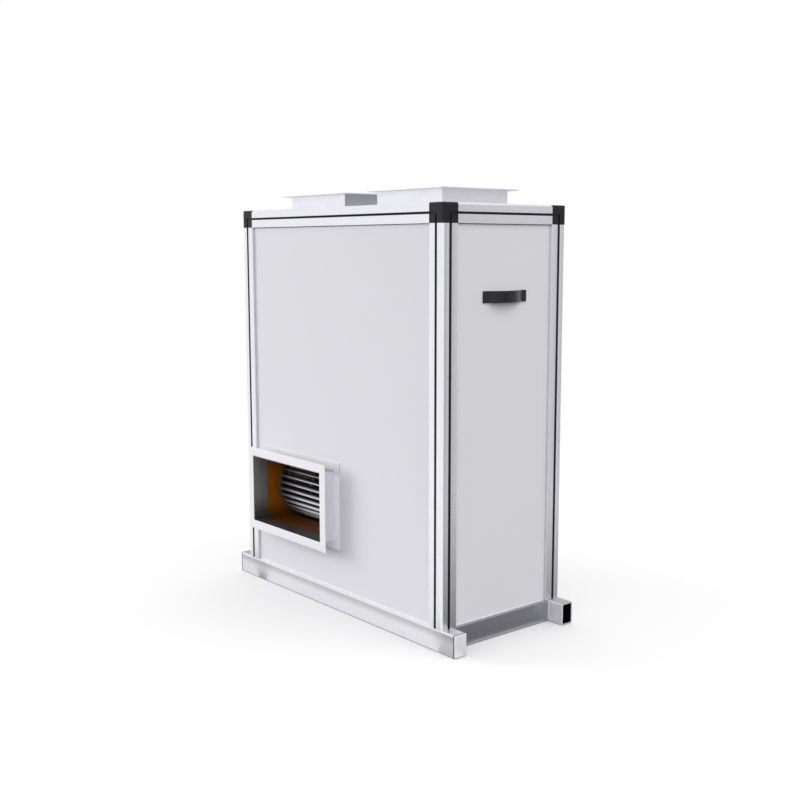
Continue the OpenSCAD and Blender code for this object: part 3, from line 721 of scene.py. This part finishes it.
def weld_bead(x, y, low, high, samples=81, sides=14):
    """Bead along an upright joint: a circle carried up the joint, its radius rippled by a sine and drawn
    in at both ends by the root of one less the eighth power of the distance from the middle, but to no
    less than a small share."""
    z = np.linspace(low, high, samples)
    away = np.linspace(-1, 1, samples)
    swell = 1 + WELD_RIPPLE * np.sin(2 * np.pi * (z - low) / WELD_PITCH)
    taper = np.maximum(np.sqrt(1 - away ** 8), WELD_END_SHARE)
    radius = (WELD_R * swell * taper)[:, None]
    angle = np.linspace(0, 2 * np.pi, sides + 1)[:-1]
    points = np.stack([x + radius * np.cos(angle), y + radius * np.sin(angle),
                       np.broadcast_to(z[:, None], (samples, sides))], axis=-1)
    return closed_tube(points)


weld_beads = []
for node in ("base_left_cross_rail", "base_right_cross_rail"):
    lo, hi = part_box(node)
    weld_beads += [weld_bead(x, y, lo.z + WELD_MARGIN, hi.z - WELD_MARGIN)
                   for x in (lo.x, hi.x) for y in (lo.y, hi.y)]
make_piece("rail_weld_beads", joined(weld_beads), WELD_METAL)


# Folded duct sheet

OPENING_CORNERS = np.array([(1, -1), (1, 1), (-1, 1), (-1, -1)], float)
OPEN_FOOT_GROWTH = np.array([(1, 0), (1, 1), (-1, 1), (-1, 0)], float)


def round_opening(section, half, centre, across, up, out, open_foot=False):
    """A closed section, drawn as distance outward from an opening's edge and height out of its plane,
    carried round the rectangular opening with mitred corners: all the way, or up one side, along the top
    and down the other."""
    across, up, out = (np.array(axis, float) for axis in (across, up, out))
    growth = OPEN_FOOT_GROWTH if open_foot else OPENING_CORNERS
    outward, height = section[:, 0], section[:, 1]
    first = OPENING_CORNERS[:, :1] * half[0] + growth[:, :1] * outward
    second = OPENING_CORNERS[:, 1:] * half[1] + growth[:, 1:] * outward
    points = (np.array(centre, float) + first[..., None] * across + second[..., None] * up
              + height[None, :, None] * out)
    surface = closed_tube(points) if open_foot else ring(points)
    return turned_over(surface) if np.linalg.det(np.stack([across, up, out])) > 0 else surface


def flat_rim(inner, outer, low, high):
    """Section of a flat flange or of the collar's wall: a rectangle with softened edges."""
    corners = [(inner, low), (outer, low), (outer, high), (inner, high)]
    return filleted(corners, [SHEET_ARRIS_R] * 4)


def spigot_section(low, high):
    """Section of a spigot: one sheet folded out to a flange at its foot and at its top."""
    lower, upper = low + SPIGOT_FLANGE_T, high - SPIGOT_FLANGE_T
    corners = [(0, low), (SPIGOT_REACH, low), (SPIGOT_REACH, lower), (SHEET_T, lower),
               (SHEET_T, upper), (SPIGOT_REACH, upper), (SPIGOT_REACH, high), (0, high)]
    return filleted(corners, [SHEET_ARRIS_R, SHEET_ARRIS_R, SHEET_ARRIS_R, FOLD_IN_R,
                              FOLD_IN_R, SHEET_ARRIS_R, SHEET_ARRIS_R, FOLD_OUT_R])


def refinish(piece, faces, material):
    """Gives the marked faces of a piece a finish of their own."""
    piece.data.materials.append(material)
    piece.data.polygons.foreach_set("material_index", faces.astype(np.int32))


def face_middles(piece):
    """The middle of every face of a piece."""
    middle = np.empty(3 * len(piece.data.polygons), np.float32)
    piece.data.polygons.foreach_get("center", middle)
    return middle.reshape(-1, 3)


# The two spigots, with a darker zinc as painted shade on the walls that face each other across the gap
for side, facing in (("left", 1), ("right", -1)):
    lo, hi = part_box(side + "_top_spigot")
    half = ((hi.x - lo.x) / 2 - SPIGOT_REACH, (hi.y - lo.y) / 2 - SPIGOT_REACH)
    centre = ((lo.x + hi.x) / 2, (lo.y + hi.y) / 2, 0)
    section = spigot_section(lo.z, hi.z)
    surface = round_opening(section, half, centre, (1, 0, 0), (0, 1, 0), (0, 0, 1))
    spigot = make_piece(side + "_spigot_sheet", surface, DUCT_METAL, [side + "_top_spigot"])
    wall_x = centre[0] + facing * (half[0] + SHEET_T)
    # Painted shade on the two walls that face each other across the gap
    refinish(spigot, np.abs(face_middles(spigot)[:, 0] - wall_x) < SHEET_ARRIS_R, GAP_SHADE_METAL)

# The outlet, with the lining of painted shade on the inner walls of its collar
collar_lo, collar_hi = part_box("outlet_collar")
outlet_half = ((collar_hi.x - collar_lo.x) / 2 - SHEET_T, (collar_hi.z - collar_lo.z) / 2 - SHEET_T)
outlet_centre = ((collar_lo.x + collar_hi.x) / 2, 0, (collar_lo.z + collar_hi.z) / 2)
outlet = {}
for node, name, metal in (("outlet_wall_flange", "outlet_wall_rim", WALL_RIM_METAL),
                          ("outlet_collar", "outlet_collar_sheet", COLLAR_METAL),
                          ("outlet_front_flange", "outlet_front_rim", FLANGE_METAL)):
    lo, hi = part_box(node)
    outer = (hi.x - lo.x) / 2 - outlet_half[0]
    inner = 0 if node == "outlet_collar" else SHEET_T
    section = flat_rim(inner, outer, -hi.y, -lo.y)
    surface = round_opening(section, outlet_half, outlet_centre, (1, 0, 0), (0, 0, 1), (0, -1, 0))
    outlet[node] = make_piece(name, surface, metal, [node])
away = np.abs(face_middles(outlet["outlet_collar"]) - outlet_centre)
inner_walls = ((away[:, 0] < outlet_half[0] + SHEET_ARRIS_R)
               & (away[:, 2] < outlet_half[1] + SHEET_ARRIS_R))
refinish(outlet["outlet_collar"], inner_walls, OUTLET_LINING_SHADED)


# Panel seals

SIDE_PANELS = (
    # node, axis across its face, axis out of its face
    ("front_panel", (1, 0, 0), (0, -1, 0)),
    ("rear_panel", (1, 0, 0), (0, 1, 0)),
    ("left_panel", (0, 1, 0), (-1, 0, 0)),
    ("access_panel", (0, 1, 0), (1, 0, 0)),
)


def seal_section():
    """Section of the bead in the gap round a panel, with a round top a little below the panel's face."""
    corners = [(SEAL_GAP, -SEAL_FOOT), (SEAL_W, -SEAL_FOOT), (SEAL_W, -SEAL_TOP), (SEAL_GAP, -SEAL_TOP)]
    return filleted(corners, [SEAL_FOOT_R, SEAL_FOOT_R, SEAL_CROWN_R, SEAL_CROWN_R])


def panel_seal(node, across, up, out):
    """Bead round a panel's edge, placed by the two axes across its face and the one out of it. A side
    panel's bead is open at its foot."""
    lo, hi = (np.array(corner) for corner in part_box(node))
    across, up, out = (np.array(axis, float) for axis in (across, up, out))
    half = (abs((hi - lo) @ across) / 2, abs((hi - lo) @ up) / 2)
    centre = (lo + hi) / 2 + out * abs((hi - lo) @ out) / 2
    return round_opening(seal_section(), half, centre, across, up, out, open_foot=node != "top_panel")


seals = [panel_seal(node, across, (0, 0, 1), out) for node, across, out in SIDE_PANELS]
seals.append(panel_seal("top_panel", (1, 0, 0), (0, 1, 0), (0, 0, 1)))
make_piece("panel_edge_seals", joined(seals), SEAL_RUBBER)


def sill_sealant(node, across, out):
    """Round bead along a panel's foot, where it meets the rail: a circle carried straight across."""
    lo, hi = (np.array(corner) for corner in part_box(node))
    across, out = (np.array(axis, float) for axis in (across, out))
    half = abs((hi - lo) @ across) / 2
    middle = (lo + hi) / 2 + out * (abs((hi - lo) @ out) / 2 + SEALANT_PROUD - SEALANT_R)
    middle[2] = lo[2] + SEALANT_PROUD
    angle = np.linspace(0, 2 * np.pi, 4 * ARC_STEPS + 1)[:-1]
    circle = SEALANT_R * np.stack([np.cos(angle), np.sin(angle)], axis=-1)
    return prism(circle, middle, out, (0, 0, 1), across, -half, half)


sill_beads = [sill_sealant(*panel) for panel in SIDE_PANELS]
make_piece("panel_sill_sealant", joined(sill_beads), SEALANT)


# Bow handle

def handle_path(lo, hi, samples=121, fine_samples=2001):
    """Middle line of the strap seen from above: a circular bow and two flat feet, with the larger of the
    two heights taken smoothly, then spaced evenly along its length."""
    rise = hi.x - lo.x - RIB_RISE - HANDLE_T / 2
    foot = HANDLE_T / 2
    half_chord = (hi.y - lo.y) / 2 - HANDLE_FOOT
    radius = (half_chord ** 2 + (rise - foot) ** 2) / (2 * (rise - foot))
    y = np.linspace(lo.y, hi.y, fine_samples)
    mid = (lo.y + hi.y) / 2
    bow = rise - radius + np.sqrt(np.maximum(radius ** 2 - (y - mid) ** 2, 0))
    x = (bow + foot + np.sqrt((bow - foot) ** 2 + HANDLE_BLEND ** 2) - HANDLE_BLEND) / 2
    x = np.maximum(x, foot)
    length = np.concatenate([[0], np.cumsum(np.hypot(np.diff(x), np.diff(y)))])
    even = np.linspace(0, length[-1], samples)
    return np.stack([lo.x + np.interp(even, length, x), np.interp(even, length, y)], axis=-1)


def strap_section(height):
    """Section of the strap: a ribbed outer face, a flat inner face and round edges. Gives the distance
    from the middle line, the part of it that is rib, and the height."""
    half = HANDLE_T / 2
    z = np.linspace(-height / 2 + half, height / 2 - half, RIB_COUNT * RIB_SAMPLES + 1)
    ripple = RIB_RISE * (1 - np.cos(2 * np.pi * RIB_COUNT * (z - z[0]) / (z[-1] - z[0]))) / 2
    turn = np.linspace(0, np.pi, 2 * ARC_STEPS + 1)[1:-1]
    out, up = half * np.cos(turn), half * np.sin(turn)
    base = np.concatenate([np.full(len(z), half), out, [-half, -half], -out])
    level = np.concatenate([z, z[-1] + up, [z[-1], z[0]], z[0] - up])
    return base, np.concatenate([ripple, np.zeros(len(base) - len(z))]), level


def bow_handle():
    """The strap's section carried along its path, offset along the path's normal, with ribs that fade
    out at the feet."""
    lo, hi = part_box("access_handle")
    path = handle_path(lo, hi)
    ahead = np.gradient(path, axis=0)
    ahead /= np.linalg.norm(ahead, axis=1, keepdims=True)
    normal = np.stack([ahead[:, 1], -ahead[:, 0]], axis=-1)
    base, ripple, level = strap_section(hi.z - lo.z)
    from_middle = np.abs(path[:, 1] - (lo.y + hi.y) / 2)
    from_foot = (hi.y - lo.y) / 2 - HANDLE_FOOT - from_middle
    rib_share = np.clip(from_foot / RIB_FADE, 0, 1)
    offset = base[None, :] + ripple[None, :] * rib_share[:, None]
    x = path[:, :1] + normal[:, :1] * offset
    y = path[:, 1:] + normal[:, 1:] * offset
    z = np.broadcast_to((lo.z + hi.z) / 2 + level, x.shape)
    return turned_over(closed_tube(np.stack([x, y, z], axis=-1)))


make_piece("ribbed_bow_handle", bow_handle(), HANDLE_PLASTIC, ["access_handle"])


# Stage, light and camera

# Camera: the place and angles that the photograph was taken from
CAMERA_PLACE = (2.4501, -1.9742, 1.0152)
CAMERA_AZIMUTH = math.radians(50.516)
CAMERA_PITCH = math.radians(-7.886)
CAMERA_ROLL = math.radians(-0.093)
CAMERA_LENS = 50
CAMERA_SENSOR = 36

# World light: its strength from the sides and from above, and the heights between which it changes
SIDE_LIGHT = 1.66
TOP_LIGHT = 0.6
HORIZON = (0.0, 0.12)
SHOULDER = (0.5, 0.9)
BACKDROP = 1.0

# Floor: its shape, the distances between which it fades out, its colour and glow to the camera, and
# its colour to the light that it throws back
FLOOR_RADIUS = 4.0
FLOOR_SIDES = 96
FLOOR_FADE = (1.2, 3.8)
FLOOR_COLOUR = 0.7
FLOOR_LIFT = 0.145
FLOOR_BOUNCE = 0.2

# Lamps: metres and watts
LAMP_TARGET = (0, 0, 0.5)
KEY_PLACE = (-7.3, -5.0, 2.4)
KEY_SIZE = 3.8
KEY_POWER = 388
FILL_PLACE = (2.9, 0.9, 3.7)
FILL_SIZE = 2.4
FILL_POWER = 39

# Cards and strips of floor that the metal mirrors
UPRIGHT_CARDS = (
    # name, the two ends of its foot, its lowest and highest level, shade at each corner
    ("right_card", (2.463, 0.474), (1.573, 1.554), (-0.4, 2.2), (0.08, 0.75, 0.95, 0.10)),
    ("right_back_card", (1.573, 1.554), (1.168, 1.99), (-0.4, 2.2), (0.4, 0.4, 0.4, 0.4)),
    ("left_back_card", (-1.0, 2.6), (-2.98, 0.7), (0.3, 1.6), (0.5, 0.1, 0.1, 0.5)),
)
FLOOR_CARD_X = (0.46, 2.2)
FLOOR_CARD_Y = (-0.16, 2.2)
FLOOR_CARD_Z = 0.004
FLOOR_CARD_SHADES = (0.16, 0.38, 1.1, 0.8)
FLOOR_STRIPS = (
    # name, the two places along the front rail that mirror it to the camera, shade at its far end and
    # at its near end
    ("left_end_strip", -0.54, -0.43, 0.78, 0.78),
    ("left_dark_strip", -0.4, -0.354, 0.0, 0.2),
    ("right_end_strip", 0.44, 0.54, 0.42, 0.42),
)
FLOOR_STRIP_REACH = 0.17
FLOOR_STRIP_Z = 0.003


def add_world():
    """Soft light all round from above the horizon, strongest low down, on a white backdrop that metal
    shows as well."""
    world = bpy.data.worlds.new("studio")
    world.use_nodes = True
    tree = world.node_tree
    split = tree.nodes.new("ShaderNodeSeparateXYZ")
    tree.links.new(tree.nodes.new("ShaderNodeTexCoord").outputs["Generated"], split.inputs["Vector"])
    lesser = tree.nodes.new("ShaderNodeMath")
    lesser.operation = "MINIMUM"
    slopes = ((HORIZON, (0, SIDE_LIGHT)), (SHOULDER, (SIDE_LIGHT, TOP_LIGHT)))
    for socket, (heights, strengths) in zip(lesser.inputs, slopes):
        share = tree.nodes.new("ShaderNodeMapRange")
        share.inputs["From Min"].default_value, share.inputs["From Max"].default_value = heights
        share.inputs["To Min"].default_value, share.inputs["To Max"].default_value = strengths
        tree.links.new(split.outputs["Z"], share.inputs["Value"])
        tree.links.new(share.outputs["Result"], socket)
    soft = tree.nodes["Background"]
    soft.inputs["Color"].default_value = (1, 1, 1, 1)
    tree.links.new(lesser.outputs["Value"], soft.inputs["Strength"])
    white = tree.nodes.new("ShaderNodeBackground")
    white.inputs["Strength"].default_value = BACKDROP
    white.inputs["Color"].default_value = (1, 1, 1, 1)
    path = tree.nodes.new("ShaderNodeLightPath")
    seen = path.outputs["Is Camera Ray"]
    for ray in ("Is Glossy Ray", "Is Transmission Ray"):
        either = tree.nodes.new("ShaderNodeMath")
        either.operation = "MAXIMUM"
        tree.links.new(seen, either.inputs[0])
        tree.links.new(path.outputs[ray], either.inputs[1])
        seen = either.outputs[0]
    mix = tree.nodes.new("ShaderNodeMixShader")
    tree.links.new(seen, mix.inputs["Fac"])
    tree.links.new(soft.outputs[0], mix.inputs[1])
    tree.links.new(white.outputs[0], mix.inputs[2])
    tree.links.new(mix.outputs[0], tree.nodes["World Output"].inputs["Surface"])
    bpy.context.scene.world = world


def stage_material(name, mesh):
    """Gives a mesh of the stage a material with no shader in it yet, and returns its node tree."""
    material = bpy.data.materials.new(name)
    material.use_nodes = True
    mesh.materials.append(material)
    tree = material.node_tree
    tree.nodes.remove(tree.nodes["Principled BSDF"])
    return tree


def add_floor():
    """Pale round floor that fades into the backdrop towards its rim, and throws little light back up."""
    angle = np.linspace(0, 2 * np.pi, FLOOR_SIDES + 1)[:-1]
    rim = FLOOR_RADIUS * np.stack([np.cos(angle), np.sin(angle), np.zeros(FLOOR_SIDES)], axis=-1)
    mesh = bpy.data.meshes.new("floor")
    mesh.from_pydata(rim.tolist(), [], [list(range(FLOOR_SIDES))])
    floor = bpy.data.objects.new("floor", mesh)
    bpy.context.scene.collection.objects.link(floor)
    tree = stage_material("floor_pale", mesh)
    matt = tree.nodes.new("ShaderNodeBsdfDiffuse")
    matt.inputs["Color"].default_value = (FLOOR_COLOUR, FLOOR_COLOUR, FLOOR_COLOUR, 1)
    glow = tree.nodes.new("ShaderNodeEmission")
    glow.inputs["Strength"].default_value = FLOOR_LIFT
    pale = tree.nodes.new("ShaderNodeAddShader")
    dim = tree.nodes.new("ShaderNodeBsdfDiffuse")
    dim.inputs["Color"].default_value = (FLOOR_BOUNCE, FLOOR_BOUNCE, FLOOR_BOUNCE, 1)
    seen = tree.nodes.new("ShaderNodeMixShader")
    path = tree.nodes.new("ShaderNodeLightPath")
    clear = tree.nodes.new("ShaderNodeBsdfTransparent")
    place = tree.nodes.new("ShaderNodeTexCoord")
    length = tree.nodes.new("ShaderNodeVectorMath")
    length.operation = "LENGTH"
    fade = tree.nodes.new("ShaderNodeMapRange")
    fade.interpolation_type = "SMOOTHSTEP"
    fade.inputs["From Min"].default_value, fade.inputs["From Max"].default_value = FLOOR_FADE
    mix = tree.nodes.new("ShaderNodeMixShader")
    tree.links.new(place.outputs["Object"], length.inputs[0])
    tree.links.new(length.outputs["Value"], fade.inputs["Value"])
    tree.links.new(fade.outputs["Result"], mix.inputs["Fac"])
    tree.links.new(matt.outputs[0], pale.inputs[0])
    tree.links.new(glow.outputs[0], pale.inputs[1])
    tree.links.new(path.outputs["Is Diffuse Ray"], seen.inputs["Fac"])
    tree.links.new(pale.outputs[0], seen.inputs[1])
    tree.links.new(dim.outputs[0], seen.inputs[2])
    tree.links.new(seen.outputs[0], mix.inputs[1])
    tree.links.new(clear.outputs[0], mix.inputs[2])
    tree.links.new(mix.outputs[0], tree.nodes["Material Output"].inputs["Surface"])


def add_card(name, corners, shades):
    """Card that only bright surfaces mirror, graded between the shades of its corners."""
    mesh = bpy.data.meshes.new(name)
    mesh.from_pydata(corners, [], [(0, 1, 2, 3)])
    mesh.attributes.new("shade", "FLOAT", "POINT").data.foreach_set("value", shades)
    card = bpy.data.objects.new(name, mesh)
    bpy.context.scene.collection.objects.link(card)
    tree = stage_material(name, mesh)
    graded = tree.nodes.new("ShaderNodeAttribute")
    graded.attribute_name = "shade"
    glow = tree.nodes.new("ShaderNodeEmission")
    tree.links.new(graded.outputs["Fac"], glow.inputs["Strength"])
    tree.links.new(glow.outputs[0], tree.nodes["Material Output"].inputs["Surface"])
    card.visible_camera = False
    card.visible_diffuse = False
    card.visible_shadow = False


def upright_card(start, end, levels):
    """Corners of an upright card that stands over a line on the floor."""
    low, high = levels
    return (*start, low), (*end, low), (*end, high), (*start, high)


def floor_card():
    """Corners of the card that lies on the floor beside the right end."""
    (left, right), (front, back) = FLOOR_CARD_X, FLOOR_CARD_Y
    return [(x, y, FLOOR_CARD_Z) for x, y in ((left, front), (right, front), (right, back), (left, back))]


def floor_strip(left, right):
    """Corners of a strip of floor that the front rail mirrors to the camera between two places along the
    rail: it leaves the rail's foot there and runs out along the mirrored line of sight."""
    face_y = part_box("base_front_rail")[0].y
    far_y = face_y - FLOOR_STRIP_REACH
    slope = [(x - CAMERA_PLACE[0]) / (face_y - CAMERA_PLACE[1]) for x in (left, right)]
    far_left, far_right = (x + FLOOR_STRIP_REACH * run for x, run in zip((left, right), slope))
    return ((far_left, far_y, FLOOR_STRIP_Z), (far_right, far_y, FLOOR_STRIP_Z),
            (right, face_y, FLOOR_STRIP_Z), (left, face_y, FLOOR_STRIP_Z))


def add_lamp(name, place, size, power):
    """Large soft lamp aimed at the unit."""
    lamp = bpy.data.lights.new(name, "AREA")
    lamp.size = size
    lamp.energy = power
    holder = bpy.data.objects.new(name, lamp)
    turn = (Vector(LAMP_TARGET) - Vector(place)).to_track_quat("-Z", "Y")
    holder.matrix_world = Matrix.LocRotScale(Vector(place), turn, None)
    holder.visible_glossy = False
    bpy.context.scene.collection.objects.link(holder)


def add_camera():
    """Camera at the photograph's place and angle."""
    forward = Vector((-math.sin(CAMERA_AZIMUTH) * math.cos(CAMERA_PITCH),
                      math.cos(CAMERA_AZIMUTH) * math.cos(CAMERA_PITCH), math.sin(CAMERA_PITCH)))
    turn = forward.to_track_quat("-Z", "Y").to_matrix().to_4x4() @ Matrix.Rotation(CAMERA_ROLL, 4, "Z")
    data = bpy.data.cameras.new("camera")
    data.lens = CAMERA_LENS
    data.sensor_width = CAMERA_SENSOR
    camera = bpy.data.objects.new("camera", data)
    camera.matrix_world = Matrix.Translation(CAMERA_PLACE) @ turn
    bpy.context.scene.collection.objects.link(camera)
    bpy.context.scene.camera = camera


add_world()
add_floor()
for name, start, end, levels, shades in UPRIGHT_CARDS:
    add_card(name, upright_card(start, end, levels), shades)
add_card("floor_card", floor_card(), FLOOR_CARD_SHADES)
for name, left, right, far_shade, near_shade in FLOOR_STRIPS:
    add_card(name, floor_strip(left, right), (far_shade, far_shade, near_shade, near_shade))
add_lamp("key", KEY_PLACE, KEY_SIZE, KEY_POWER)
add_lamp("fill", FILL_PLACE, FILL_SIZE, FILL_POWER)
add_camera()
bpy.context.scene.view_settings.view_transform = "Standard"
